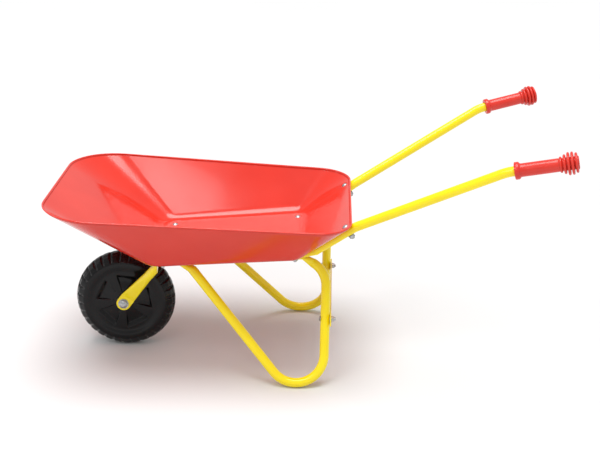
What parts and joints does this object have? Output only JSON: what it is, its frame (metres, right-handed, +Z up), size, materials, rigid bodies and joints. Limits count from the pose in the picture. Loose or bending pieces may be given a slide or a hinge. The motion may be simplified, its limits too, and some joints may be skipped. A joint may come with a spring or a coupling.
{
  "type": "wheelbarrow",
  "caption": "Child's single-wheel wheelbarrow: sloped sheet-metal tray on a bent tube frame with flat-ended legs, ribbed grips and a free-turning moulded wheel.",
  "frame": {"origin": "on the ground, under the middle of the overall length, on the middle plane", "axes": "+X towards the handles, +Y to the user's right when standing behind, +Z up"},
  "size_m": [0.8039, 0.436, 0.4148],
  "materials": {
    "tray_paint": "gloss",
    "frame_paint": "gloss",
    "grip_plastic": "gloss",
    "wheel_plastic": "satin",
    "bush_plastic": "satin",
    "zinc": "zinc plated"
  },
  "bodies": {
    "frame": {"tray": "tray_paint", "handle_tube_left": "frame_paint", "handle_tube_right": "frame_paint", "grip_left": "grip_plastic", "grip_right": "grip_plastic", "leg_left": "frame_paint", "leg_right": "frame_paint", "leg_brace": "frame_paint", "fork_arm_left": "frame_paint", "fork_arm_right": "frame_paint", "axle_bolt": "zinc", "axle_nut": "zinc", "axle_washers": "zinc", "axle_spacer_left": "zinc", "axle_spacer_right": "zinc", "front_floor_bolts": "zinc", "front_floor_washers": "zinc", "front_floor_nuts": "zinc", "rear_floor_bolts": "zinc", "rear_floor_washers": "zinc", "rear_floor_nuts": "zinc", "rear_wall_bolts": "zinc", "rear_wall_washers": "zinc", "rear_wall_nuts": "zinc", "brace_bolts": "zinc", "brace_washers": "zinc", "brace_nuts": "zinc"},
    "wheel": {"wheel_half_left": "wheel_plastic", "wheel_half_right": "wheel_plastic", "hub_bush_left": "bush_plastic", "hub_bush_right": "bush_plastic"}
  },
  "joints": [
    {"name": "wheel_spin", "type": "hinge", "parent": "frame", "child": "wheel", "pos_m": [-0.29265, 0, 0.083], "axis": [0, 1, 0], "continuous": true}
  ]
}
